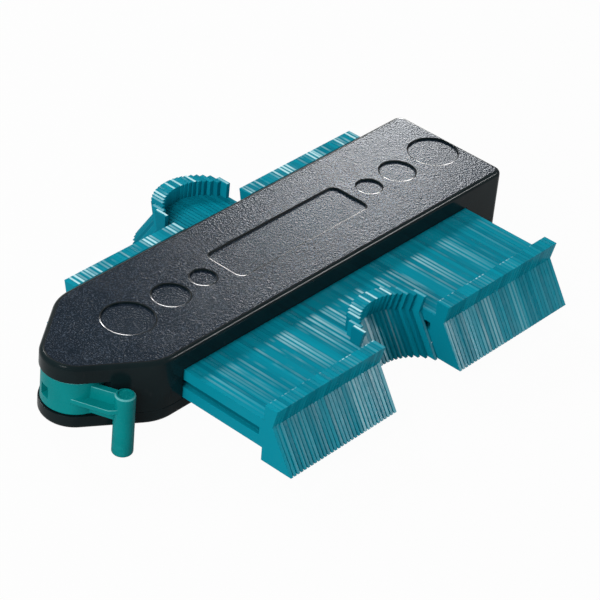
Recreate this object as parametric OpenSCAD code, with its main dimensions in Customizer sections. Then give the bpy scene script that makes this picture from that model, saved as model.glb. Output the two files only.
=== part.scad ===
// Contour gauge with a cam lock.
// A pack of thin leaves slides between two shells. A lever at the nose turns a cam,
// which pushes a clamp plate against the pack and holds the leaves where they stand.
// X runs from the nose to the far end, -Y is the working side, Z = 0 is the underside.
// X = 0 and Y = 0 lie at the centre of the panel on the top.

/* [Leaves] */
// Number of leaves in the pack
leaf_count = 88; // [60:2:88]
// Distance from one leaf to the next
leaf_pitch = 1.4; // [1.2:0.05:1.8]
// Gap between neighbouring leaves
leaf_gap = 0.06; // [0.04:0.01:0.2]
// Height of a leaf's bar
leaf_h = 9.6; // [8.6:0.2:12]
// Free length of the leaves in front of the housing
leaf_reach = 29.8; // [26:0.2:40]
// Gap between the housing and the rear feet
rear_gap = 1.2; // [0.6:0.1:4]
// Height of the guide slot in a leaf
slot_h = 2.5; // [2.3:0.1:3]
// Solid end between the guide slot and a foot
slot_end = 1.5; // [1:0.1:4]

/* [Feet] */
// Rise of a foot above the bar
foot_rise = 5; // [3:0.1:6]
// Depth of a foot at its top
foot_top = 4.5; // [3.6:0.1:6]
// Depth of a foot at the notch under its lip
foot_neck = 3.2; // [2.4:0.1:3.5]
// Depth of a foot at its tip
foot_tip = 11.3; // [8:0.1:16]
// Height of the lip above the notch
lip_h = 6.2; // [4:0.1:9]
// Height of the feet above the resting plane
foot_clear = 0.2; // [0.1:0.1:1]

/* [Held contour] */
// Radius of the round contour that the leaves hold
contour_r = 14.5; // [6:0.1:25]
// Depth to which it is pressed into the pack
contour_depth = 17; // [4:0.5:24]
// Place of its centre along the pack, from the panel's centre
contour_x = -6.4; // [-30:0.1:25]

/* [Housing] */
// Width across the straight sides
body_w = 42.4; // [40:0.2:56]
// Height of the lower shell
lower_h = 4.4; // [4:0.1:6]
// Height of the upper shell above the leaves
roof_h = 6.6; // [6:0.1:9]
// Thickness of the top, over the ribs
roof_t = 2.6; // [2:0.1:3.5]
// Thickness of the bottom, under the ribs
floor_t = 2; // [1.6:0.1:2.4]
// Thickness of the outer walls
wall_t = 2.6; // [2:0.1:3.5]
// Thickness of the ribs that guide the leaves
rib_t = 1.6; // [1.2:0.1:2.4]
// Cells between the ribs along the pack
rib_cells = 7; // [3:1:10]
// Length of the far post
post_l = 17.2; // [15:0.2:24]
// Distance of the pack's centre from the panel's centre
pack_shift = -3.6; // [-8:0.1:0]
// Radius of the nose
nose_r = 10.2; // [9.9:0.1:12]
// Slope of the tapered sides
taper_a = 35; // [30:1:42]
// Radius of the shoulders between taper and sides
shoulder_r = 14; // [8:0.5:18]
// Radius of the far corners
corner_r = 3; // [2.6:0.1:6]
// Radius of the top edge
top_edge_r = 1.5; // [1:0.1:2.4]
// Radius of the bottom edge
base_edge_r = 1.6; // [0.8:0.1:2]

/* [Top recesses] */
// Depth of the round recesses and the panel
recess_d = 0.6; // [0.3:0.1:1]
// Radius of the large, middle and small recess
dot_r = [7.8, 5.65, 4]; // [2:0.05:9]
// Distance of the large recess from the far end
dot_inset = 9; // [8.5:0.1:14]
// Steps from the large to the middle and on to the small recess
dot_step = [17, 13.2]; // [8:0.1:20]
// Width of the panel
panel_w = 14.6; // [8:0.2:22]
// Corner radius of the panel
panel_r = 2.4; // [1:0.1:4]
// Space between the panel and a small recess
panel_gap = 4.3; // [2:0.1:8]

/* [Lock] */
// Radius of the lever's hub
hub_r = 9.7; // [8.6:0.1:9.8]
// Rise of the lever's slot above the window of the leaves
slot_rise = 1.3; // [0:0.1:2]
// Turn of the lever from locked to free
lever_swing = 110; // [80:5:110]
// Travel of the clamp plate over that turn
cam_rise = 1.2; // [0.6:0.1:1.6]
// Distance of the finger pin from the pivot
pin_dist = 18.05; // [18.05:0.05:24]
// Radius of the finger pin
pin_r = 3; // [2:0.1:3.1]
// Length of the finger pin
pin_l = 20; // [16:0.2:28]
// Thickness of the arm
arm_t = 2.1; // [1.6:0.1:3]
// Projection of the arm's rib
arm_rib_w = 3.2; // [1:0.1:4]
// Thickness of the arm's rib
arm_rib_t = 1.6; // [1:0.1:3]
// Length of the clamp plate along the pack
clamp_l = 11.5; // [10:0.1:16]
// Width of the clamp plate's pad at the cam
pad_w = 12; // [8:0.5:14]
// Radius of the pivot screw's shoulder
pivot_r = 2.5; // [2:0.1:3]

/* [Guide bars] */
// Distance of a guide bar from the centre line
bar_y = 10.5; // [10.2:0.1:11]
// Width of a guide bar
bar_w = 5; // [3:0.1:5]
// Thickness of a guide bar
bar_t = 2; // [1.5:0.1:2]
// Depth of a guide bar's seat in the posts
bar_seat = 1.7; // [1:0.1:1.7]

/* [Hidden] */
$fn = 64;
edge_fn = 24;
shell_colour = "#23272d";
teal_colour = "#0a8a8c";
steel_colour = "#b8bcc0";

// Clearances
slide_clear = 0.2;
seat_clear = 0.1;
cam_clear = 0.1;
pivot_clear = 0.05;
hub_clear = 0.5;
hub_end_clear = 0.3;
pack_clear = 0.05;
post_clear = 0.3;
over = 1;

// Levels
leaf_z0 = lower_h + slide_clear;
leaf_z1 = leaf_z0 + leaf_h;
leaf_zm = (leaf_z0 + leaf_z1) / 2;
window_z = leaf_z1 + slide_clear;
lever_z = window_z + slot_rise;
body_h = window_z + roof_h;
foot_z0 = foot_clear;
foot_z1 = leaf_z1 + foot_rise;
notch_z = foot_z1 - lip_h;

// Places along the pack
leaf_t = leaf_pitch - leaf_gap;
pack_l = leaf_count * leaf_pitch;
pack_x0 = pack_shift - pack_l / 2;
pack_x1 = pack_shift + pack_l / 2;
post_x = pack_x1 + post_clear;
end_x = post_x + post_l;
clamp_x1 = pack_x0 - pack_clear;
clamp_x0 = clamp_x1 - clamp_l;
room_x = clamp_x0 - cam_rise - post_clear;
pivot_x = clamp_x0 - cam_clear - hub_r;

// Places across the pack
side_y = body_w / 2;
rear_y = side_y + rear_gap;
front_y = -side_y - leaf_reach;
clamp_w = 2 * (bar_y + bar_w / 2 + rib_t + slide_clear);
shoulder_y = side_y - shoulder_r;
shoulder_x = pivot_x + (cos(taper_a) * shoulder_y + shoulder_r - nose_r) / sin(taper_a);

// Lever, about its pivot
hub_z0 = lower_h + hub_end_clear;
hub_h = lever_z - lower_h - 2 * hub_end_clear;
slot_x = pivot_x + 1;
cam_dwell = 35;
pin_a = -85.5;
pin_at = pin_dist * [cos(pin_a), sin(pin_a)];
pin_top = leaf_z1;
pin_taper = 0.1;
pin_round = 0.7;
pin_dish_d = 0.3;
pin_dish_r = pin_r - pin_round - 0.2;
arm_at = 0.76 * hub_r * [cos(-112), sin(-112)];
arm_v = pin_at - arm_at;
arm_l = norm(arm_v);
arm_a = atan2(arm_v[1], arm_v[0]);
arm_z0 = hub_z0 + 0.2;
arm_h = pin_top - seat_clear - arm_z0;
rib_back = 4;
key_a = 166;
key_w = 3.6;
key_h = 3.8;
key_d = 2;

// Fasteners and pegs
pivot_head_r = 4.5;
pivot_head_h = 2.2;
thread_r = 1.9;
thread_l = roof_h - slot_rise - 2;
screw_r = 1.4;
screw_head_r = 2.8;
screw_head_h = 1.8;
screw_l = 12;
screw_x = end_x - 7.5;
screw_y = 12.5;
boss_r = screw_r + 1.8;
peg_r = 1.5;
peg_l = 3;
peg_at = [pivot_x + 4.1, 12];

// Clamp plate and top recesses
plate_t = 3;
clamp_web_t = 2.8;
dot_x = [
    end_x - dot_inset,
    end_x - dot_inset - dot_step[0],
    end_x - dot_inset - dot_step[0] - dot_step[1]
];
panel_l = 2 * (dot_x[2] - dot_r[2] - panel_gap);

pair_count = floor(leaf_count / 2);
function pair_name(i) = str("leaf_pair_", i < 10 ? "0" : "", i);

// How far a leaf is pushed back by the round contour
function pushed(x) =
    abs(x - contour_x) < contour_r
        ? max(0, contour_depth - contour_r + sqrt(pow(contour_r, 2) - pow(x - contour_x, 2)))
        : 0;

// Radius of the cam, at an angle from its high point
function cam_r(a) = hub_r - cam_rise * min(a, lever_swing) / lever_swing;

// Half of a leaf's outline, from the bar's top round the foot to the bar's bottom.
// The distance runs outwards from the foot's inner face.
foot_outline = [
    [0, leaf_z1],
    [0, foot_z1],
    [foot_top, foot_z1],
    [foot_neck, notch_z],
    [foot_tip, foot_z0],
    [0, foot_z0],
    [0, leaf_z0]
];

// Disc with its upper edge rounded
module rounded_disc(r, h, edge) {
    rotate_extrude() {
        square([r - edge, h]);
        square([r, h - edge]);
        translate([r - edge, h - edge]) intersection() {
            circle(edge, $fn = edge_fn);
            square(edge);
        }
    }
}

// Housing outline as a slab with its upper edge rounded
module housing_slab(h, edge) {
    hull() {
        translate([pivot_x, 0, 0]) rounded_disc(nose_r, h, edge);
        for (s = [-1, 1]) {
            translate([shoulder_x, s * shoulder_y, 0]) rounded_disc(shoulder_r, h, edge);
            translate([end_x - corner_r, s * (side_y - corner_r), 0]) rounded_disc(corner_r, h, edge);
        }
    }
}

// Cells between the ribs over and under the pack
module rib_cells_cut(z, h) {
    cell_l = (pack_l - rib_t * (rib_cells + 1)) / rib_cells;
    cell_w = side_y - wall_t - rib_t / 2;
    for (i = [0 : rib_cells - 1], s = [0, 1])
        translate([pack_x0 + rib_t + i * (cell_l + rib_t), rib_t / 2 - s * (cell_w + rib_t), z])
            cube([cell_l, cell_w, h]);
}

// Room for the pack, the clamp plate and the lever's hub
module mechanism_room() {
    room_h = window_z - lower_h + over;
    jaw_h = lever_z - lower_h + over;
    z = lower_h - over;
    translate([pack_x0 - post_clear, -body_w, z]) cube([pack_l + 2 * post_clear, 2 * body_w, room_h]);
    translate([room_x, -clamp_w / 2 - slide_clear, z])
        cube([pack_x0 - room_x, clamp_w + 2 * slide_clear, room_h]);
    translate([pivot_x, 0, z]) cylinder(r = hub_r + hub_clear, h = jaw_h);
    translate([slot_x - 4 * nose_r, -body_w, z]) cube([4 * nose_r, 2 * body_w, jaw_h]);
}

// Seats for the ends of the guide bars
module bar_seats() {
    for (s = [-1, 1])
        translate([
            room_x - bar_seat - seat_clear,
            s * bar_y - bar_w / 2 - seat_clear,
            leaf_zm - bar_t / 2 - seat_clear
        ])
            cube([
                post_x - room_x + 2 * (bar_seat + seat_clear),
                bar_w + 2 * seat_clear,
                bar_t + 2 * seat_clear
            ]);
}

// Hollow of the far post, round the bosses of the screws
module post_core() {
    core_x = post_x + bar_seat + wall_t;
    difference() {
        translate([core_x, -side_y + wall_t, lower_h - over])
            cube([end_x - wall_t - core_x, body_w - 2 * wall_t, body_h - roof_t - lower_h + over]);
        for (s = [-1, 1])
            translate([screw_x, s * screw_y, 0]) cylinder(r = boss_r, h = body_h);
    }
}

// Shallow recesses in the top: a panel with a row of three discs on each side
module top_recesses() {
    translate([0, 0, body_h - recess_d]) linear_extrude(recess_d + over) {
        square([panel_l - 2 * panel_r, panel_w], center = true);
        square([panel_l, panel_w - 2 * panel_r], center = true);
        for (sx = [-1, 1], sy = [-1, 1])
            translate([sx * (panel_l / 2 - panel_r), sy * (panel_w / 2 - panel_r)]) circle(panel_r);
        for (i = [0 : 2], s = [-1, 1])
            translate([s * dot_x[i], 0]) circle(dot_r[i]);
    }
}

module upper_shell() {
    color(shell_colour) difference() {
        translate([0, 0, lower_h]) housing_slab(body_h - lower_h, top_edge_r);
        mechanism_room();
        bar_seats();
        rib_cells_cut(window_z - over, roof_h - roof_t + over);
        post_core();
        top_recesses();
        translate([pivot_x, 0, lever_z - over]) cylinder(r = thread_r + pivot_clear, h = thread_l + over);
        for (s = [-1, 1]) {
            translate([screw_x, s * screw_y, lower_h - over])
                cylinder(r = screw_r + pivot_clear, h = screw_l + over);
            translate([peg_at[0], s * peg_at[1], lower_h - over])
                cylinder(r = peg_r + seat_clear, h = peg_l + seat_clear + over);
        }
    }
}

module lower_shell() {
    color(shell_colour) {
        difference() {
            translate([0, 0, lower_h]) mirror([0, 0, 1]) housing_slab(lower_h, base_edge_r);
            rib_cells_cut(floor_t, lower_h);
            translate([pivot_x, 0, -over]) cylinder(r = pivot_r + pivot_clear, h = lower_h + 2 * over);
            translate([pivot_x, 0, -over])
                cylinder(r = pivot_head_r + seat_clear, h = pivot_head_h + seat_clear + over);
            for (s = [-1, 1]) translate([screw_x, s * screw_y, -over]) {
                cylinder(r = screw_r + seat_clear, h = lower_h + 2 * over);
                cylinder(r = screw_head_r + seat_clear, h = screw_head_h + seat_clear + over);
            }
        }
        for (s = [-1, 1])
            translate([peg_at[0], s * peg_at[1], floor_t]) cylinder(r = peg_r, h = lower_h - floor_t + peg_l);
    }
}

// Cross recess in the head of a screw
module cross_recess(r, d) {
    for (a = [0, 90])
        rotate(a) translate([-r, -r / 5, -over]) cube([2 * r, 2 * r / 5, d + over]);
}

module pivot_screw() {
    color(steel_colour) translate([pivot_x, 0, seat_clear]) difference() {
        union() {
            cylinder(r = pivot_head_r, h = pivot_head_h);
            cylinder(r = pivot_r, h = lever_z - 2 * seat_clear);
            cylinder(r = thread_r, h = lever_z + thread_l - 3 * seat_clear);
        }
        cross_recess(pivot_head_r / 2, pivot_head_h / 2);
    }
}

module shell_screws() {
    color(steel_colour) for (s = [-1, 1])
        translate([screw_x, s * screw_y, seat_clear]) difference() {
            union() {
                cylinder(r = screw_head_r, h = screw_head_h);
                cylinder(r = screw_r, h = screw_l + lower_h - 2 * seat_clear - over);
            }
            cross_recess(screw_head_r / 2, screw_head_h / 2);
        }
}

module guide_bar(s) {
    color(steel_colour)
        translate([room_x - bar_seat, s * bar_y - bar_w / 2, leaf_zm - bar_t / 2])
            cube([post_x - room_x + 2 * bar_seat, bar_w, bar_t]);
}

module front_guide_bar() {
    guide_bar(-1);
}

module rear_guide_bar() {
    guide_bar(1);
}

// Slider with a narrow pad for the cam and a wide face for the pack
module clamp_plate() {
    flare_x = clamp_x1 - plate_t;
    pocket_x = clamp_x0 + plate_t;
    pocket_h = (leaf_h - clamp_web_t) / 2;
    color(shell_colour) difference() {
        translate([0, 0, leaf_z0]) linear_extrude(leaf_h) polygon([
            [clamp_x0, -pad_w / 2],
            [pocket_x, -pad_w / 2],
            [flare_x, -clamp_w / 2],
            [clamp_x1, -clamp_w / 2],
            [clamp_x1, clamp_w / 2],
            [flare_x, clamp_w / 2],
            [pocket_x, pad_w / 2],
            [clamp_x0, pad_w / 2]
        ]);
        for (z = [leaf_z0 - over, leaf_z1 - pocket_h], s = [-1, 1])
            translate([0, 0, z]) linear_extrude(pocket_h + over) polygon([
                [pocket_x, s * rib_t / 2],
                [flare_x, s * rib_t / 2],
                [flare_x, s * (clamp_w / 2 - 2 * rib_t)],
                [pocket_x, s * (pad_w / 2 - rib_t)]
            ]);
        for (s = [-1, 1])
            translate([
                clamp_x0 - over,
                s * bar_y - bar_w / 2 - slide_clear,
                leaf_zm - bar_t / 2 - slide_clear
            ])
                cube([clamp_l + 2 * over, bar_w + 2 * slide_clear, bar_t + 2 * slide_clear]);
    }
}

// Hub with the cam cut into its inner side, seen from above
module hub_profile() {
    step = 5;
    cam_end = lever_swing + cam_dwell;
    outer_r = hub_r + 3;
    turns = [for (a = [-step / 2 : step : cam_end]) a];
    last = len(turns) - 1;
    difference() {
        circle(hub_r);
        polygon(concat(
            [for (a = turns) cam_r(a) * [cos(a), sin(a)]],
            [for (i = [last : -1 : 0]) outer_r * [cos(turns[i]), sin(turns[i])]]
        ));
    }
}

// Arm seen from above, drawn along its length from the hub into the finger pin
module arm_profile() {
    arm_end = arm_l - pin_dish_r - 0.15;
    translate(arm_at) rotate(arm_a) translate([0, -arm_t / 2]) square([arm_end, arm_t]);
}

// Rib on the outer side of the arm
module arm_rib() {
    rib_end = arm_l - pin_r;
    translate([arm_at[0], arm_at[1], leaf_zm - arm_rib_t / 2]) rotate(arm_a)
        linear_extrude(arm_rib_t) polygon([
            [-rib_back, 0],
            [arm_l, 0],
            [arm_l, -pin_r * 0.8],
            [rib_end, -arm_rib_w - arm_t / 2],
            [-rib_back, -arm_rib_w - arm_t / 2]
        ]);
}

module finger_pin() {
    r0 = pin_r + pin_taper;
    translate([pin_at[0], pin_at[1], pin_top - pin_l]) difference() {
        rotate_extrude() {
            polygon([
                [0, 0],
                [r0 - pin_round, 0],
                [r0, pin_round],
                [pin_r, pin_l - pin_round],
                [pin_r - pin_round, pin_l],
                [0, pin_l]
            ]);
            translate([r0 - pin_round, pin_round]) intersection() {
                circle(pin_round, $fn = edge_fn);
                translate([0, -pin_round]) square(pin_round);
            }
            translate([pin_r - pin_round, pin_l - pin_round]) intersection() {
                circle(pin_round, $fn = edge_fn);
                square(pin_round);
            }
        }
        translate([0, 0, pin_l - pin_dish_d]) cylinder(r = pin_dish_r, h = pin_dish_d + over);
    }
}

module lock_lever() {
    color(teal_colour) translate([pivot_x, 0, 0]) difference() {
        union() {
            translate([0, 0, hub_z0]) linear_extrude(hub_h) hub_profile();
            translate([0, 0, arm_z0]) linear_extrude(arm_h) arm_profile();
            arm_rib();
            finger_pin();
        }
        translate([0, 0, hub_z0 - over]) cylinder(r = pivot_r + pivot_clear, h = hub_h + 2 * over);
        rotate(key_a) translate([hub_r - key_d, -key_w / 2, leaf_zm - key_h / 2])
            cube([2 * key_d, key_w, key_h]);
    }
}

// One leaf, with its left face at x
module leaf(x) {
    back = [for (p = foot_outline) [rear_y + p[0], p[1]]];
    front = [for (i = [len(foot_outline) - 1 : -1 : 0]) [front_y - foot_outline[i][0], foot_outline[i][1]]];
    translate([x, pushed(x + leaf_t / 2), 0]) rotate([90, 0, 90]) linear_extrude(leaf_t) difference() {
        polygon(concat(back, front));
        translate([front_y + slot_end, leaf_zm - slot_h / 2])
            square([rear_y - front_y - 2 * slot_end, slot_h]);
    }
}

module leaf_pair(i) {
    color(teal_colour) for (k = [2 * i - 2, 2 * i - 1])
        leaf(pack_x0 + k * leaf_pitch + leaf_gap / 2);
}

upper_shell();
lower_shell();
pivot_screw();
shell_screws();
front_guide_bar();
rear_guide_bar();
clamp_plate();
lock_lever();
for (i = [1 : pair_count]) leaf_pair(i);
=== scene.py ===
import math
import random

import bmesh
import bpy
from mathutils import Matrix, Vector


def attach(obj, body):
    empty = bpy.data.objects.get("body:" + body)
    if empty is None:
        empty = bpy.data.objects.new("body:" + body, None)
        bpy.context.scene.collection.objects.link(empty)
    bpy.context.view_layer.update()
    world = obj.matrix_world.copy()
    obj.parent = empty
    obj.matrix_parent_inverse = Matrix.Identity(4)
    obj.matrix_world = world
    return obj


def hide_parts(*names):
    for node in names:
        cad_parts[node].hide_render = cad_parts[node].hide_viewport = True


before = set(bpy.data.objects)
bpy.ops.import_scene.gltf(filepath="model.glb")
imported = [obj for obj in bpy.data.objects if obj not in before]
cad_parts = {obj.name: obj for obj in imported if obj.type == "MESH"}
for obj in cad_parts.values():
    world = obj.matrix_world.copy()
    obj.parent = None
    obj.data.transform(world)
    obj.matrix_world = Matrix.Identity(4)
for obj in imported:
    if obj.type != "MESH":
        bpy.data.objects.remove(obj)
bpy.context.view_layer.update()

scene = bpy.context.scene
scene.view_settings.view_transform = "Standard"
mm = 0.001
print("frame loaded with", len(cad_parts), "nodes")


# Node helpers

def addNode(tree, kind, at, inputs=None, **settings):
    node = tree.nodes.new(kind)
    node.location = at
    for key, value in settings.items():
        setattr(node, key, value)
    for key, value in (inputs or {}).items():
        node.inputs[key].default_value = value
    return node


def addMath(tree, operation, at, first, second=None, clamp=False):
    node = addNode(tree, "ShaderNodeMath", at, operation=operation, use_clamp=clamp)
    for index, value in enumerate((first, second)):
        if value is None:
            continue
        if isinstance(value, (int, float)):
            node.inputs[index].default_value = value
        else:
            tree.links.new(value, node.inputs[index])
    return node.outputs[0]


def addRange(tree, at, value, fromLow, fromHigh, toLow=0.0, toHigh=1.0):
    node = addNode(tree, "ShaderNodeMapRange", at, {
        "From Min": fromLow, "From Max": fromHigh, "To Min": toLow, "To Max": toHigh})
    tree.links.new(value, node.inputs["Value"])
    return node.outputs["Result"]


def addMix(tree, at, factor, colourA, colourB):
    node = addNode(tree, "ShaderNodeMix", at, data_type="RGBA")
    for socket, value in ((node.inputs[0], factor), (node.inputs[6], colourA), (node.inputs[7], colourB)):
        if isinstance(value, bpy.types.NodeSocket):
            tree.links.new(value, socket)
        else:
            socket.default_value = value
    return node.outputs[2]


def newGroup(name, inputs, outputs):
    group = bpy.data.node_groups.new(name, "ShaderNodeTree")
    for label, kind, value in inputs:
        socket = group.interface.new_socket(label, in_out="INPUT", socket_type=kind)
        socket.default_value = value
    for label, kind in outputs:
        group.interface.new_socket(label, in_out="OUTPUT", socket_type=kind)
    entry = addNode(group, "NodeGroupInput", (-900, 0))
    leave = addNode(group, "NodeGroupOutput", (700, 0))
    return group, entry, leave


def placeGroup(tree, group, at, inputs):
    node = addNode(tree, "ShaderNodeGroup", at)
    node.node_tree = group
    for key, value in inputs.items():
        node.inputs[key].default_value = value
    return node


def newMaterial(name):
    material = bpy.data.materials.new(name)
    material.use_nodes = True
    tree = material.node_tree
    tree.nodes.clear()
    output = addNode(tree, "ShaderNodeOutputMaterial", (900, 0))
    shader = addNode(tree, "ShaderNodeBsdfPrincipled", (560, 0))
    tree.links.new(shader.outputs[0], output.inputs[0])
    return material, tree, shader


def addBump(tree, shader, height, strength, distance, at=(320, -420)):
    bump = addNode(tree, "ShaderNodeBump", at, {"Strength": strength, "Distance": distance})
    tree.links.new(height, bump.inputs["Height"])
    tree.links.new(bump.outputs[0], shader.inputs["Normal"])


# Effects that several finishes share

mottleSet = {"range": (0.3, 0.7), "glossScale": 5.0}


def makeMottle():
    # slow colour drift and uneven gloss of moulded or rolled stock
    group, entry, leave = newGroup("mottle", [
        ("Dark", "NodeSocketColor", (0.1, 0.1, 0.1, 1)),
        ("Light", "NodeSocketColor", (0.2, 0.2, 0.2, 1)),
        ("Scale", "NodeSocketFloat", 60.0),
        ("Rough Low", "NodeSocketFloat", 0.3),
        ("Rough High", "NodeSocketFloat", 0.5),
    ], [("Colour", "NodeSocketColor"), ("Roughness", "NodeSocketFloat")])
    links = group.links
    place = addNode(group, "ShaderNodeTexCoord", (-900, 300))
    slow = addNode(group, "ShaderNodeTexNoise", (-560, 300), {"Detail": 3.0, "Roughness": 0.55})
    links.new(place.outputs["Object"], slow.inputs["Vector"])
    links.new(entry.outputs["Scale"], slow.inputs["Scale"])
    drift = addRange(group, (-340, 300), slow.outputs["Fac"], *mottleSet["range"])
    links.new(addMix(group, (100, 200), drift, entry.outputs["Dark"], entry.outputs["Light"]),
              leave.inputs["Colour"])
    quick = addNode(group, "ShaderNodeTexNoise", (-560, -100), {"Detail": 2.0, "Roughness": 0.6})
    links.new(place.outputs["Object"], quick.inputs["Vector"])
    finer = addMath(group, "MULTIPLY", (-740, -160), entry.outputs["Scale"], mottleSet["glossScale"])
    links.new(finer, quick.inputs["Scale"])
    gloss = addNode(group, "ShaderNodeMapRange", (-300, -100), {
        "From Min": mottleSet["range"][0], "From Max": mottleSet["range"][1]})
    links.new(quick.outputs["Fac"], gloss.inputs["Value"])
    links.new(entry.outputs["Rough Low"], gloss.inputs["To Min"])
    links.new(entry.outputs["Rough High"], gloss.inputs["To Max"])
    links.new(gloss.outputs["Result"], leave.inputs["Roughness"])
    return group


sparkSet = {
    "pitScale": 1.0, "lumpScale": 0.8, "glintScale": 1.25,
    "pitHeight": 0.5, "lumpHeight": 0.8, "glintRange": (0.54, 0.72),
}


def makeSparkGrainAndGlints():
    # spark-eroded mould grain as a bump of fine pits and lumps, and painted glints: lighter flecks put into
    # the colour where grains would catch light
    group, entry, leave = newGroup("sparkGrainAndGlints", [("Scale", "NodeSocketFloat", 2400.0)],
                                   [("Height", "NodeSocketFloat"), ("PaintedGlint", "NodeSocketFloat")])
    links = group.links
    place = addNode(group, "ShaderNodeTexCoord", (-900, 300))
    pits = addNode(group, "ShaderNodeTexVoronoi", (-500, 300), {"Randomness": 1.0})
    lumps = addNode(group, "ShaderNodeTexNoise", (-500, 0), {"Detail": 2.0, "Roughness": 0.6})
    glintNoise = addNode(group, "ShaderNodeTexNoise", (-500, -300), {"Detail": 1.0, "Roughness": 0.5})
    for texture, factor in ((pits, "pitScale"), (lumps, "lumpScale"), (glintNoise, "glintScale")):
        links.new(place.outputs["Object"], texture.inputs["Vector"])
        scaled = addMath(group, "MULTIPLY", (-720, 0), entry.outputs["Scale"], sparkSet[factor])
        links.new(scaled, texture.inputs["Scale"])
    cup = addMath(group, "MULTIPLY", (-260, 300), pits.outputs["Distance"], sparkSet["pitHeight"])
    lump = addMath(group, "MULTIPLY", (-260, 0), lumps.outputs["Fac"], sparkSet["lumpHeight"])
    links.new(addMath(group, "ADD", (0, 160), cup, lump), leave.inputs["Height"])
    links.new(addRange(group, (-260, -300), glintNoise.outputs["Fac"], *sparkSet["glintRange"]),
              leave.inputs["PaintedGlint"])
    return group


handlingSet = {"turn": (0.2, 0.35, 0.6), "stretch": (1.0, 0.06, 0.4), "range": (0.62, 0.74)}


def makeHandling():
    # faint hairlines left by handling
    group, entry, leave = newGroup("handling", [("Scale", "NodeSocketFloat", 300.0)],
                                   [("Mask", "NodeSocketFloat")])
    links = group.links
    place = addNode(group, "ShaderNodeTexCoord", (-900, 300))
    turn = addNode(group, "ShaderNodeMapping", (-700, 300), {
        "Rotation": handlingSet["turn"], "Scale": handlingSet["stretch"]})
    links.new(place.outputs["Object"], turn.inputs["Vector"])
    lines = addNode(group, "ShaderNodeTexNoise", (-460, 300), {"Detail": 3.0, "Roughness": 0.7})
    links.new(turn.outputs[0], lines.inputs["Vector"])
    links.new(entry.outputs["Scale"], lines.inputs["Scale"])
    links.new(addRange(group, (-200, 300), lines.outputs["Fac"], *handlingSet["range"]), leave.inputs["Mask"])
    return group


mottle = makeMottle()
sparkGrainAndGlints = makeSparkGrainAndGlints()
handling = makeHandling()
print("shared effects ready")


# Finishes

grainFinish = {
    "dark": (0.0036, 0.0080, 0.0146, 1), "light": (0.0060, 0.0124, 0.0208, 1),
    "glintPaint": (0.095, 0.125, 0.175, 1), "glintShare": 0.42, "specular": 0.14, "tint": (0.80, 0.90, 1.0, 1),
    "rough": (0.15, 0.21), "toneScale": 35.0, "grainScale": 2000.0, "bump": 0.55, "bumpDepth": 0.00011,
}


def placeTone(tree, look):
    return placeGroup(tree, mottle, (-300, 200), {
        "Dark": look["dark"], "Light": look["light"], "Scale": look["toneScale"],
        "Rough Low": look["rough"][0], "Rough High": look["rough"][1]})


def makeGrainedShell(name, look):
    material, tree, shader = newMaterial(name)
    tone = placeTone(tree, look)
    grain = placeGroup(tree, sparkGrainAndGlints, (-300, -200), {"Scale": look["grainScale"]})
    # painted glints lighten the shell's colour in flecks
    share = addMath(tree, "MULTIPLY", (0, -100), grain.outputs["PaintedGlint"], look["glintShare"])
    colour = addMix(tree, (200, 200), share, tone.outputs["Colour"], look["glintPaint"])
    tree.links.new(colour, shader.inputs["Base Color"])
    tree.links.new(tone.outputs["Roughness"], shader.inputs["Roughness"])
    shader.inputs["Specular IOR Level"].default_value = look["specular"]
    shader.inputs["Specular Tint"].default_value = look["tint"]
    addBump(tree, shader, grain.outputs["Height"], look["bump"], look["bumpDepth"])
    return material


smoothFinish = {
    "dark": (0.0040, 0.0096, 0.0112, 1), "light": (0.0062, 0.0140, 0.0160, 1),
    "wearAndSheen": (0.016, 0.020, 0.022, 1), "rough": (0.14, 0.22), "specular": 0.16, "toneScale": 90.0,
    "lineScale": 420.0, "lineShare": 0.5, "lineRough": 0.08,
    "grainScale": 1500.0, "bump": 0.08, "bumpDepth": 0.00008,
}
rimFinish = {
    **smoothFinish, "dark": (0.0060, 0.0085, 0.0100, 1), "light": (0.0090, 0.0125, 0.0140, 1),
    "wearAndSheen": (0.020, 0.024, 0.027, 1), "rough": (0.12, 0.18), "specular": 0.30,
}


def makeSmoothShell(name, look):
    material, tree, shader = newMaterial(name)
    tone = placeTone(tree, look)
    lines = placeGroup(tree, handling, (-300, -100), {"Scale": look["lineScale"]})
    share = addMath(tree, "MULTIPLY", (0, -60), lines.outputs["Mask"], look["lineShare"])
    tree.links.new(addMix(tree, (200, 200), share, tone.outputs["Colour"], look["wearAndSheen"]),
                   shader.inputs["Base Color"])
    dulled = addMath(tree, "MULTIPLY", (0, -240), lines.outputs["Mask"], look["lineRough"])
    tree.links.new(addMath(tree, "ADD", (200, -60), tone.outputs["Roughness"], dulled),
                   shader.inputs["Roughness"])
    shader.inputs["Specular IOR Level"].default_value = look["specular"]
    grain = placeGroup(tree, sparkGrainAndGlints, (-300, -420), {"Scale": look["grainScale"]})
    addBump(tree, shader, grain.outputs["Height"], look["bump"], look["bumpDepth"])
    return material


leverFinish = {
    "dark": (0.0010, 0.218, 0.224, 1), "light": (0.0016, 0.260, 0.266, 1),
    "wearAndSheen": (0.012, 0.330, 0.335, 1), "rough": (0.22, 0.32), "specular": 0.10, "toneScale": 110.0,
    "lineScale": 520.0, "lineShare": 0.4, "grainScale": 2100.0, "bump": 0.05, "bumpDepth": 0.00010,
    "grained": 0.0,
}
dishFinish = {**leverFinish, "bump": 0.65, "grained": 1.0}
# painted highlight: a much lighter teal on the lever's rounded convex edges that face up stands in for the
# highlight lines along them
edgeHighlightPaint = {
    **leverFinish, "dark": (0.060, 0.360, 0.370, 1), "light": (0.160, 0.500, 0.505, 1),
    "wearAndSheen": (0.300, 0.600, 0.600, 1), "rough": (0.18, 0.28), "specular": 0.20,
}


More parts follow.
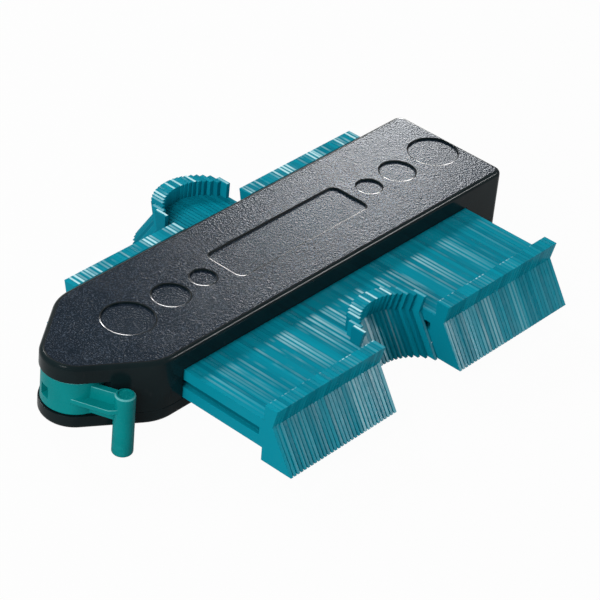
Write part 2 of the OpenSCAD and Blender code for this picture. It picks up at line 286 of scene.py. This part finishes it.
def makeLeverTeal(name, look):
    material, tree, shader = newMaterial(name)
    tone = placeTone(tree, look)
    lines = placeGroup(tree, handling, (-300, -100), {"Scale": look["lineScale"]})
    grain = placeGroup(tree, sparkGrainAndGlints, (-300, -420), {"Scale": look["grainScale"]})
    # painted glints in the colour, on the dish only
    glintPaint = addMath(tree, "MULTIPLY", (0, -300), grain.outputs["PaintedGlint"], look["grained"])
    worn = addMath(tree, "MULTIPLY", (-120, -60), lines.outputs["Mask"], look["lineShare"])
    share = addMath(tree, "MAXIMUM", (0, -60), worn, glintPaint)
    tree.links.new(addMix(tree, (200, 200), share, tone.outputs["Colour"], look["wearAndSheen"]),
                   shader.inputs["Base Color"])
    tree.links.new(tone.outputs["Roughness"], shader.inputs["Roughness"])
    shader.inputs["Specular IOR Level"].default_value = look["specular"]
    addBump(tree, shader, grain.outputs["Height"], look["bump"], look["bumpDepth"])
    return material


# the pale colour is painted highlight: its stripes on bar tops, foot tops and slopes stand in for the lamps'
# reflections
leafFinish = {
    "deep": (0.0012, 0.190, 0.265, 1), "clear": (0.0028, 0.275, 0.370, 1), "pale": (0.480, 0.780, 0.830, 1),
    "pitch": 1.4 * mm, "start": -65.2 * mm, "drawSeeds": (0.37, 71.9, 140.3),
    "rough": (0.14, 0.24), "roughDrift": 0.05, "driftScale": 160.0, "specular": 0.04,
    "streakStep": (7.31, 95.0, 60.0), "bunchScale": 0.21,
    "bunchWeight": 0.64, "drawWeight": 0.14, "streakWeight": 0.22, "shineFrom": (0.47, 0.60),
    "lineShift": 0.5, "lineWidth": (0.36, 0.22),
    "facesUp": (0.80, 0.96), "facesOut": (0.70, 0.82), "slopesUp": (0.30, 0.48),
    "topShare": 0.60, "footShare": (0.08, 1.0), "slopeShare": 0.28,
    "window": (-26.6 * mm, -28.4 * mm), "fade": (-30.0 * mm, -48.0 * mm), "fadeShare": 0.15,
    "barAt": (12.6 * mm, 13.4 * mm), "footAt": (15.0 * mm, 16.0 * mm), "footEdge": (-51.50 * mm, -51.25 * mm),
    "rearFrom": (-5.0 * mm, 5.0 * mm),
    "nearSide": (-64.0 * mm, -38.0 * mm), "nearShare": 0.20,
    "farSide": (20.0 * mm, 52.0 * mm), "farShare": 0.15,
    "twist": 0.00016, "twistStep": (5.37, 22.0, 22.0), "twistFrom": (0.25, 0.75), "slopeTwist": 0.2,
}


def addLane(tree, at, number, parts, step):
    # a place of its own for each leaf, so that a pattern stops at the leaf's edges
    lane = addNode(tree, "ShaderNodeCombineXYZ", at)
    for index, value in enumerate((number, parts.outputs[1], parts.outputs[2])):
        scaled = addMath(tree, "MULTIPLY", (at[0] - 140, at[1] + 40 - 120 * index), value, step[index])
        tree.links.new(scaled, lane.inputs[index])
    return lane.outputs[0]


def makeLeafTeal(name, look):
    material, tree, shader = newMaterial(name)
    links = tree.links
    place = addNode(tree, "ShaderNodeTexCoord", (-1500, 200))
    parts = addNode(tree, "ShaderNodeSeparateXYZ", (-1320, 200))
    links.new(place.outputs["Object"], parts.inputs[0])
    across, along, height = parts.outputs[0], parts.outputs[1], parts.outputs[2]
    # each leaf has its own number, and from it its own tone and gloss
    fromStart = addMath(tree, "SUBTRACT", (-1240, 300), across, look["start"])
    counted = addMath(tree, "DIVIDE", (-1140, 300), fromStart, look["pitch"])
    number = addMath(tree, "FLOOR", (-1040, 300), counted)
    inLeaf = addMath(tree, "SUBTRACT", (-900, 700), addMath(tree, "FRACT", (-1040, 700), counted), 0.5)
    draws = []
    for seed in look["drawSeeds"]:
        draw = addNode(tree, "ShaderNodeTexWhiteNoise", (-760, 500 - seed * 3), noise_dimensions="1D")
        links.new(addMath(tree, "ADD", (-900, 500 - seed * 3), number, seed), draw.inputs["W"])
        draws.append(draw.outputs["Value"])
    # painted highlight streaks run along a leaf
    streak = addNode(tree, "ShaderNodeTexNoise", (-580, -120), {
        "Scale": 1.0, "Detail": 2.0, "Roughness": 0.55})
    links.new(addLane(tree, (-760, -120), number, parts, look["streakStep"]), streak.inputs["Vector"])
    # painted highlight lines: some leaves have one, and they come in bunches
    bunch = addNode(tree, "ShaderNodeTexNoise", (-580, 40), {
        "Scale": look["bunchScale"], "Detail": 2.0, "Roughness": 0.6}, noise_dimensions="1D")
    links.new(number, bunch.inputs["W"])
    bunched = addMath(tree, "MULTIPLY", (-440, 60), bunch.outputs[0], look["bunchWeight"])
    drawn = addMath(tree, "MULTIPLY", (-480, -60), draws[1], look["drawWeight"])
    streaked = addMath(tree, "MULTIPLY", (-480, -160), streak.outputs["Fac"], look["streakWeight"])
    blend = addMath(tree, "ADD", (-300, 0), bunched, addMath(tree, "ADD", (-380, -100), drawn, streaked))
    centred = addMath(tree, "SUBTRACT", (-660, 640), draws[2], 0.5)
    lineAt = addMath(tree, "MULTIPLY", (-560, 640), centred, look["lineShift"])
    fromLine = addMath(tree, "ABSOLUTE", (-340, 640), addMath(tree, "SUBTRACT", (-440, 640), inLeaf, lineAt))
    line = addRange(tree, (-240, 640), fromLine, *look["lineWidth"])
    shine = addMath(tree, "MULTIPLY", (-100, 100), addRange(tree, (-200, 0), blend, *look["shineFrom"]), line)
    facing = addNode(tree, "ShaderNodeNewGeometry", (-760, -420))
    turned = addNode(tree, "ShaderNodeSeparateXYZ", (-580, -420))
    links.new(facing.outputs["Normal"], turned.inputs[0])
    upward = addRange(tree, (-400, -420), turned.outputs[2], *look["facesUp"])
    sideways = addMath(tree, "ABSOLUTE", (-500, -560), turned.outputs[1])
    outward = addMath(tree, "MULTIPLY", (-240, -560),
                      addRange(tree, (-400, -560), sideways, *look["facesOut"]),
                      addRange(tree, (-400, -720), turned.outputs[2], *look["slopesUp"]))
    # painted highlight: on the bar it starts where the bar leaves the window, at the edge of the cover's
    # shadow, and fades towards the foot; it lies all over the rear foot tops and faintly on the front ones
    wearAndSheen = addMath(tree, "MULTIPLY", (-240, -280),
                     addRange(tree, (-400, -240), along, *look["window"], 0.0, look["topShare"]),
                     addRange(tree, (-400, -320), along, *look["fade"], 1.0, look["fadeShare"]))
    raised = addMath(tree, "MULTIPLY", (-240, -160),
                     addRange(tree, (-400, -180), height, *look["footAt"]),
                     addRange(tree, (-400, -100), along, *look["footEdge"], *look["footShare"]))
    onBar = addRange(tree, (-400, -380), height, *look["barAt"])
    barFace = addMath(tree, "MULTIPLY", (-200, -340), wearAndSheen, onBar)
    flat = addMath(tree, "MAXIMUM", (-220, -200), barFace, raised)
    level = addMath(tree, "MULTIPLY", (-160, -420), upward, flat)
    sloped = addMath(tree, "MULTIPLY", (-160, -560), outward, look["slopeShare"])
    area = addMath(tree, "MAXIMUM", (-60, -460), level, sloped)
    # the painted highlight is fainter on the leaves at both ends of the working side, and full on the rear
    # side
    behind = addRange(tree, (-60, -700), along, *look["rearFrom"])
    middle = addMath(tree, "MULTIPLY", (60, -860),
                     addRange(tree, (-60, -860), across, *look["nearSide"], look["nearShare"], 1.0),
                     addRange(tree, (-60, -1020), across, *look["farSide"], 1.0, look["farShare"]))
    highlightSpread = addMath(tree, "MAXIMUM", (80, -640), behind, middle)
    # mix the pale painted highlight into the leaf's own tone
    share = addMath(tree, "MULTIPLY", (160, -300), addMath(tree, "MULTIPLY", (80, -200), shine, area), highlightSpread)
    tone = addMix(tree, (80, 200), draws[0], look["deep"], look["clear"])
    links.new(addMix(tree, (260, 200), share, tone, look["pale"]), shader.inputs["Base Color"])
    drift = placeGroup(tree, mottle, (-60, 480), {
        "Scale": look["driftScale"], "Rough Low": -look["roughDrift"], "Rough High": look["roughDrift"]})
    gloss = addRange(tree, (80, 0), draws[2], 0.0, 1.0, *look["rough"])
    roughness = addMath(tree, "ADD", (320, 0), gloss, drift.outputs["Roughness"], True)
    links.new(roughness, shader.inputs["Roughness"])
    shader.inputs["Specular IOR Level"].default_value = look["specular"]
    # a slow twist turns each face a little to one side, so a reflection runs along part of a leaf
    sway = addNode(tree, "ShaderNodeTexNoise", (-580, -900), {"Scale": 1.0, "Detail": 1.0, "Roughness": 0.5})
    links.new(addLane(tree, (-760, -900), number, parts, look["twistStep"]), sway.inputs["Vector"])
    swayed = addRange(tree, (-400, -900), sway.outputs["Fac"], *look["twistFrom"], -1.0, 1.0)
    lean = addMath(tree, "MULTIPLY", (-220, -900), swayed, inLeaf)
    shown = addMath(tree, "MAXIMUM", (-220, -1040), upward,
                    addMath(tree, "MULTIPLY", (-320, -1100), outward, look["slopeTwist"]))
    addBump(tree, shader, addMath(tree, "MULTIPLY", (-60, -900), lean, shown), 1.0, look["twist"])
    return material


steelFinish = {
    "dark": (0.46, 0.47, 0.48, 1), "light": (0.62, 0.62, 0.61, 1), "rough": (0.24, 0.42),
    "toneScale": 220.0, "lineScale": 900.0, "bump": 0.15, "bumpDepth": 0.00003,
}
zincFinish = {
    **steelFinish, "dark": (0.50, 0.49, 0.46, 1), "light": (0.66, 0.64, 0.60, 1), "rough": (0.28, 0.46),
    "toneScale": 400.0,
}


def makeSteel(name, look):
    material, tree, shader = newMaterial(name)
    tone = placeTone(tree, look)
    lines = placeGroup(tree, handling, (-300, -100), {"Scale": look["lineScale"]})
    tree.links.new(tone.outputs["Colour"], shader.inputs["Base Color"])
    tree.links.new(tone.outputs["Roughness"], shader.inputs["Roughness"])
    shader.inputs["Metallic"].default_value = 1.0
    addBump(tree, shader, lines.outputs["Mask"], look["bump"], look["bumpDepth"])
    return material


grainedShell = makeGrainedShell("grainedShell", grainFinish)
smoothShell = makeSmoothShell("smoothShell", smoothFinish)
rimShell = makeSmoothShell("rimShell", rimFinish)
leverTeal = makeLeverTeal("leverTeal", leverFinish)
leverDish = makeLeverTeal("leverDish", dishFinish)
leverEdgeHighlight = makeLeverTeal("leverEdgeHighlight", edgeHighlightPaint)
leafTeal = makeLeafTeal("leafTeal", leafFinish)
barSteel = makeSteel("barSteel", steelFinish)
screwZinc = makeSteel("screwZinc", zincFinish)
print("finishes ready")


# Pieces that keep a node's form and get broken edges and smooth rounds

def staysSmooth(edge, smoothAngle):
    if len(edge.link_faces) != 2 or edge.calc_face_angle(0.0) > math.radians(smoothAngle):
        return False
    return edge.link_faces[0].material_index == edge.link_faces[1].material_index


def finishPiece(bm, name, body, materials, nodeName, smoothAngle):
    for face in bm.faces:
        face.smooth = True
    for edge in bm.edges:
        edge.smooth = staysSmooth(edge, smoothAngle)
    mesh = bpy.data.meshes.new(name)
    bm.to_mesh(mesh)
    bm.free()
    for material in materials:
        mesh.materials.append(material)
    piece = bpy.data.objects.new(name, mesh)
    scene.collection.objects.link(piece)
    even = piece.modifiers.new("evenNormals", "WEIGHTED_NORMAL")
    even.keep_sharp = True
    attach(piece, body)
    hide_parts(nodeName)
    return piece


def everyEdge(edge):
    return True


def bevelEdges(bm, edges, width, segments):
    return bmesh.ops.bevel(bm, geom=edges, offset=width, offset_type="OFFSET", segments=segments,
                           profile=0.5, affect="EDGES", clamp_overlap=False, loop_slide=False)


def breakEdges(bm, width, segments, limit, test=everyEdge):
    sharp = [edge for edge in bm.edges if len(edge.link_faces) == 2
             and edge.calc_face_angle(0.0) > math.radians(limit) and test(edge)]
    bevelEdges(bm, sharp, width, segments)


meshClean = {"weld": 2e-6, "flatAngle": 0.3}


def dressNode(look):
    bm = bmesh.new()
    bm.from_mesh(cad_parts[look["node"]].data)
    bmesh.ops.remove_doubles(bm, verts=bm.verts[:], dist=meshClean["weld"])
    bmesh.ops.dissolve_limit(bm, angle_limit=math.radians(meshClean["flatAngle"]),
                             verts=bm.verts[:], edges=bm.edges[:])
    if "rim" in look:
        rims = [edge for edge in bm.edges if len(edge.link_faces) == 2 and look["rimTest"](edge)]
        ring = bevelEdges(bm, rims, look["rim"], 1)
        for vert in ring["verts"]:
            if vert.co.z < look["rimTop"] - 0.5 * look["rim"]:
                vert.co.z = look["rimTop"] - look["rimDrop"]
        bm.normal_update()
    breakEdges(bm, look["edge"], look["segments"], look["limit"], look.get("edgeTest", everyEdge))
    bm.normal_update()
    for face in bm.faces:
        face.material_index = look["pick"](face)
    return finishPiece(bm, look["piece"], look["body"], look["materials"],
                       look["node"], look["smooth"])


coverMarks = {
    "flat": 0.9995, "grainFrom": 20.2 * mm, "rimSlope": (0.96, 0.995), "rimHeight": (20.93 * mm, 20.975 * mm),
    "edgesBelow": 20.3 * mm, "topFrom": 20.99 * mm, "rimAngle": 60,
}


def within(value, limits):
    return limits[0] < value < limits[1]


def coverFace(face):
    height = face.calc_center_median().z
    if face.normal.z > coverMarks["flat"] and height > coverMarks["grainFrom"]:
        return 0
    onRing = within(face.normal.z, coverMarks["rimSlope"]) and within(height, coverMarks["rimHeight"])
    return 2 if onRing else 1


def belowTop(edge):
    return any(vert.co.z < coverMarks["edgesBelow"] for vert in edge.verts)


def onRim(edge):
    level = all(vert.co.z > coverMarks["topFrom"] for vert in edge.verts)
    return level and edge.calc_face_angle(0.0) > math.radians(coverMarks["rimAngle"])


leverMarks = {
    "flat": 0.99, "dishHeight": (13.7 * mm, 14.0 * mm), "edgeSlope": (0.35, 0.93),
    "pocketTo": -92.5 * mm, "pocketHeight": (6.5 * mm, 12.3 * mm),
    "pinAt": (-85.13 * mm, -18.0 * mm), "pinReach": 3.3 * mm,
}


# faces that slope between side and top, mostly the rounded edges, get the painted edge highlight
def leverFace(face):
    height = face.calc_center_median().z
    if face.normal.z > leverMarks["flat"] and within(height, leverMarks["dishHeight"]):
        return 1
    return 2 if within(face.normal.z, leverMarks["edgeSlope"]) else 0


def offPin(edge):
    # the finger pin has its own rounded ends, inner corners and the key pocket stay as moulded
    centre = (edge.verts[0].co + edge.verts[1].co) / 2
    pinX, pinY = leverMarks["pinAt"]
    inPocket = centre.x < leverMarks["pocketTo"] and within(centre.z, leverMarks["pocketHeight"])
    atPin = math.hypot(centre.x - pinX, centre.y - pinY) < leverMarks["pinReach"]
    return edge.is_convex and not inPocket and not atPin


def plainFace(face):
    return 0


upperCover = {
    "node": "upper_shell", "piece": "upperCover", "body": "housing", "slot": "shell",
    "edge": 0.16 * mm, "segments": 2, "limit": 40, "smooth": 46,
    "materials": [grainedShell, smoothShell, rimShell], "pick": coverFace, "edgeTest": belowTop,
    "rim": 0.38 * mm, "rimDrop": 0.076 * mm, "rimTop": 21.0 * mm, "rimTest": onRim,
}
lowerCover = {
    "node": "lower_shell", "piece": "lowerCover", "body": "housing", "slot": "shell",
    "edge": 0.16 * mm, "segments": 2, "limit": 40, "smooth": 46,
    "materials": [smoothShell], "pick": plainFace,
}
lockLever = {
    "node": "lock_lever", "piece": "lockLever", "body": "lever", "slot": "lever",
    "edge": 0.30 * mm, "segments": 3, "limit": 38, "smooth": 50,
    "materials": [leverTeal, leverDish, leverEdgeHighlight], "pick": leverFace, "edgeTest": offPin,
}
pivotScrew = {
    "node": "pivot_screw", "piece": "pivotScrew", "body": "housing", "slot": "steel",
    "edge": 0.15 * mm, "segments": 2, "limit": 40, "smooth": 50,
    "materials": [screwZinc], "pick": plainFace,
}
coverScrews = {
    "node": "shell_screws", "piece": "coverScrews", "body": "housing", "slot": "steel",
    "edge": 0.12 * mm, "segments": 2, "limit": 40, "smooth": 50,
    "materials": [screwZinc], "pick": plainFace,
}
housingPieces = bpy.data.collections.new("housingPieces")
for look in (upperCover, lowerCover, lockLever, pivotScrew, coverScrews):
    piece = dressNode(look)
    if look["slot"] == "shell":
        housingPieces.objects.link(piece)
print("covers, lever and screws dressed")


# Leaves, each with its own slight set, as they come off the mould

leafShape = {
    "pitch": 1.4, "gap": 0.09, "count": 88, "start": -65.2,
    "barTop": 14.2, "barLow": 4.6, "slotTop": 10.65, "slotLow": 8.15, "slotEnd": 1.5,
    "frontFace": -51.0, "rearFace": 22.4,
    "footTop": 19.2, "footLow": 0.2, "topDepth": 4.5, "neckDepth": 3.2, "neckAt": 13.0, "tipDepth": 11.3,
    "contourRadius": 14.5, "contourDepth": 17.0, "contourAt": -6.4,
    "topSet": 0.05, "lipSet": 0.01, "slopeSet": 0.05, "seed": 23,
    "closeFrom": 16.0, "closeTo": 42.0, "closeShare": 0.8,
    "edge": 0.10, "leastEdge": 0.3, "edgeLimit": 25, "smooth": 30, "lipRise": 1.0, "lipFrom": 12.5,
    "topThin": -0.04, "neckThin": -0.03, "tipThin": 0.11,
}
footThin = {
    **dict.fromkeys((2, 3, 12, 13), leafShape["topThin"]), **dict.fromkeys((4, 11), leafShape["neckThin"]),
    **dict.fromkeys((5, 6, 9, 10), leafShape["tipThin"]),
}


def pushedBack(x):
    away = abs(x - leafShape["contourAt"])
    radius = leafShape["contourRadius"]
    if away >= radius:
        return 0.0
    return max(0.0, leafShape["contourDepth"] - radius + math.sqrt(radius * radius - away * away))


def looseness(x):
    # towards the far end the feet stand closer together
    share = (x - leafShape["closeFrom"]) / (leafShape["closeTo"] - leafShape["closeFrom"])
    return 1.0 - leafShape["closeShare"] * min(1.0, max(0.0, share))


def leafOutline(side, shift, sets):
    # outline in (y, z) and the slot, with this side's share of the leaf's set taken off
    s = leafShape
    top, foot, lip, slope = [max(0.0, amount * side) for amount in sets]
    front, rear = s["frontFace"] + shift, s["rearFace"] + shift
    outline = [
        (front, s["barTop"] - top), (rear, s["barTop"] - top),
        (rear, s["footTop"] - foot), (rear + s["topDepth"] - lip, s["footTop"] - foot),
        (rear + s["neckDepth"] - slope, s["neckAt"]), (rear + s["tipDepth"] - slope, s["footLow"]),
        (rear, s["footLow"]), (rear, s["barLow"]), (front, s["barLow"]), (front, s["footLow"]),
        (front - s["tipDepth"] + slope, s["footLow"]), (front - s["neckDepth"] + slope, s["neckAt"]),
        (front - s["topDepth"] + lip, s["footTop"] - foot), (front, s["footTop"] - foot),
    ]
    slot = [(front + s["slotEnd"], s["slotTop"]), (rear - s["slotEnd"], s["slotTop"]),
            (rear - s["slotEnd"], s["slotLow"]), (front + s["slotEnd"], s["slotLow"])]
    return outline, slot


def buildLeaf(bm, x, shift, sets):
    walls = []
    for side, place in ((-1, x), (1, x + leafShape["pitch"] - leafShape["gap"])):
        outline, slot = leafOutline(side, shift, sets)
        # lips stand close together, and draft thins the foot towards its tip
        thin = [side * looseness(x) * footThin.get(i, 0.0) for i in range(len(outline))]
        ring = [bm.verts.new(((place - d) * mm, y * mm, z * mm)) for (y, z), d in zip(outline, thin)]
        hole = [bm.verts.new((place * mm, y * mm, z * mm)) for y, z in slot]
        faces = [
            [ring[0], ring[1], hole[1], hole[0]], [ring[8], hole[3], hole[2], ring[7]],
            [ring[0], hole[0], hole[3], ring[8]], [ring[1], ring[7], hole[2], hole[1]],
            [ring[1], ring[2], ring[3], ring[4], ring[5], ring[6], ring[7]],
            [ring[0], ring[8], ring[9], ring[10], ring[11], ring[12], ring[13]],
        ]
        for corners in faces:
            bm.faces.new(corners)
        walls.append((ring, hole))
    for loopIndex in (0, 1):
        near, far = walls[0][loopIndex], walls[1][loopIndex]
        for i in range(len(near)):
            j = (i + 1) % len(near)
            bm.faces.new([near[i], near[j], far[j], far[i]])


def awayFromLip(edge):
    low, high = sorted(vert.co.z for vert in edge.verts)
    return high - low < leafShape["lipRise"] * mm or low < leafShape["lipFrom"] * mm


chance = random.Random(leafShape["seed"])
pairCount = leafShape["count"] // 2
leafPieces = bpy.data.collections.new("leafPieces")
for pair in range(1, pairCount + 1):
    bm = bmesh.new()
    for k in (2 * pair - 2, 2 * pair - 1):
        x = leafShape["start"] + k * leafShape["pitch"] + leafShape["gap"] / 2
        shift = pushedBack(x + (leafShape["pitch"] - leafShape["gap"]) / 2)
        sets = [chance.uniform(-1, 1) * leafShape[name]
                for name in ("topSet", "topSet", "lipSet", "slopeSet")]
        sets[3] *= looseness(x)
        buildLeaf(bm, x, shift, sets)
    bmesh.ops.recalc_face_normals(bm, faces=bm.faces[:])
    edgeShare = leafShape["leastEdge"] + (1.0 - leafShape["leastEdge"]) * looseness(x)
    breakEdges(bm, edgeShare * leafShape["edge"] * mm, 1, leafShape["edgeLimit"], awayFromLip)
    bm.normal_update()
    piece = finishPiece(bm, "leafPair%02d" % pair, "leaves_%02d" % pair, [leafTeal],
                        "leaf_pair_%02d" % pair, leafShape["smooth"])
    leafPieces.objects.link(piece)
print("leaves built:", leafShape["count"])


# Parts inside keep their own form

innerParts = {"front_guide_bar": barSteel, "rear_guide_bar": barSteel, "clamp_plate": smoothShell}
for nodeName, material in innerParts.items():
    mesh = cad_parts[nodeName].data
    mesh.materials.clear()
    mesh.materials.append(material)
print("inner parts finished")


# Floor, light and camera

stageLook = {
    "floorAt": -5.85 * mm, "floorSize": 6.0, "floorGrey": (0.45, 0.45, 0.45, 1), "white": (1, 1, 1, 1),
    "ambient": 0.24, "floorShare": 0.97, "glossShare": 0.08,
}


def addVisibility(tree, at):
    # one where the background itself is seen, directly, through glass or in a reflection
    path = addNode(tree, "ShaderNodeLightPath", at)
    gloss = addMath(tree, "MULTIPLY", (at[0] + 180, at[1] - 80),
                    path.outputs["Is Glossy Ray"], stageLook["glossShare"])
    seen = addMath(tree, "MAXIMUM", (at[0] + 340, at[1]), path.outputs["Is Camera Ray"], gloss)
    return addMath(tree, "MAXIMUM", (at[0] + 500, at[1]), seen, path.outputs["Is Transmission Ray"])


def makeFloor():
    mesh = bpy.data.meshes.new("floor")
    half = stageLook["floorSize"] / 2
    corners = [(-half, -half), (half, -half), (half, half), (-half, half)]
    mesh.from_pydata([(x, y, stageLook["floorAt"]) for x, y in corners], [], [(0, 1, 2, 3)])
    floor = bpy.data.objects.new("floor", mesh)
    scene.collection.objects.link(floor)
    material = bpy.data.materials.new("paleFloor")
    material.use_nodes = True
    tree = material.node_tree
    tree.nodes.clear()
    output = addNode(tree, "ShaderNodeOutputMaterial", (900, 0))
    lit = addNode(tree, "ShaderNodeBsdfDiffuse", (400, -100), {"Color": stageLook["floorGrey"]})
    plain = addNode(tree, "ShaderNodeEmission", (400, 100), {"Color": stageLook["white"], "Strength": 1.0})
    mix = addNode(tree, "ShaderNodeMixShader", (680, 0))
    seen = addVisibility(tree, (-400, 200))
    tree.links.new(addMath(tree, "MULTIPLY", (240, 240), seen, stageLook["floorShare"]), mix.inputs[0])
    tree.links.new(lit.outputs[0], mix.inputs[1])
    tree.links.new(plain.outputs[0], mix.inputs[2])
    tree.links.new(mix.outputs[0], output.inputs[0])
    mesh.materials.append(material)


def makeWorld():
    world = bpy.data.worlds.new("studio")
    scene.world = world
    world.use_nodes = True
    tree = world.node_tree
    tree.nodes.clear()
    output = addNode(tree, "ShaderNodeOutputWorld", (900, 0))
    sky = addNode(tree, "ShaderNodeBackground", (680, 0), {"Color": stageLook["white"]})
    seen = addVisibility(tree, (-400, 0))
    strength = addRange(tree, (420, 0), seen, 0.0, 1.0, stageLook["ambient"], 1.0)
    tree.links.new(strength, sky.inputs["Strength"])
    tree.links.new(sky.outputs[0], output.inputs[0])


def addSoftbox(name, at, aim, size, watts, mirrored=True, receivers=None):
    lamp = bpy.data.lights.new(name, "AREA")
    lamp.shape = "RECTANGLE"
    lamp.size, lamp.size_y = size
    lamp.energy = watts
    holder = bpy.data.objects.new(name, lamp)
    scene.collection.objects.link(holder)
    holder.location = at
    holder.visible_glossy = mirrored
    if receivers:
        holder.light_linking.receiver_collection = receivers
    holder.rotation_euler = (Vector(aim) - Vector(at)).to_track_quat("-Z", "Y").to_euler()


# three lamps give their sheen to some pieces only
middle = (0.0, 0.0, 0.02)
softboxes = [
    {"name": "backKey", "at": (0.12, 0.78, 0.72), "aim": middle, "size": (0.26, 0.26), "watts": 6.0},
    {"name": "farPanel", "at": (0.925, 0.69, 0.585), "aim": middle, "size": (0.16, 0.16), "watts": 2.6,
     "receivers": housingPieces},
    {"name": "rimLamp", "at": (0.92, 0.72, 0.31), "aim": middle, "size": (0.34, 0.13), "watts": 2.6},
    {"name": "frontStrip", "at": (0.462, -0.620, 0.136), "aim": (0.0, -0.057, 0.007), "size": (0.06, 0.22),
     "watts": 1.7, "receivers": leafPieces},
    {"name": "edgeStrip", "at": (0.70, -0.64, 0.56), "aim": (0.0, -0.02, 0.02), "size": (0.30, 0.08),
     "watts": 3.6, "receivers": housingPieces},
    {"name": "overhead", "at": (-0.47, 0.075, 0.76), "aim": (-0.08, 0.0, 0.01), "size": (0.16, 0.16),
     "watts": 0.9},
    {"name": "leftFill", "at": (-0.82, -0.16, 0.46), "aim": (0.0, 0.0, 0.01), "size": (0.6, 0.5),
     "watts": 5.4, "mirrored": False},
]
makeFloor()
makeWorld()
for box in softboxes:
    addSoftbox(**box)

cameraSet = {
    "at": (-0.513608, -0.419135, 0.463138),
    "right": (0.6681, -0.7395, 0.0825), "up": (0.3835, 0.4372, 0.8135), "back": (-0.6377, -0.5119, 0.5756),
    "lens": 162.7, "sensor": 36.0,
}
cameraData = bpy.data.cameras.new("photoCamera")
cameraData.lens = cameraSet["lens"]
cameraData.sensor_width = cameraSet["sensor"]
camera = bpy.data.objects.new("photoCamera", cameraData)
scene.collection.objects.link(camera)
axes = Matrix((cameraSet["right"], cameraSet["up"], cameraSet["back"])).transposed()
camera.matrix_world = Matrix.Translation(cameraSet["at"]) @ axes.to_4x4()
scene.camera = camera
print("stage and camera set")
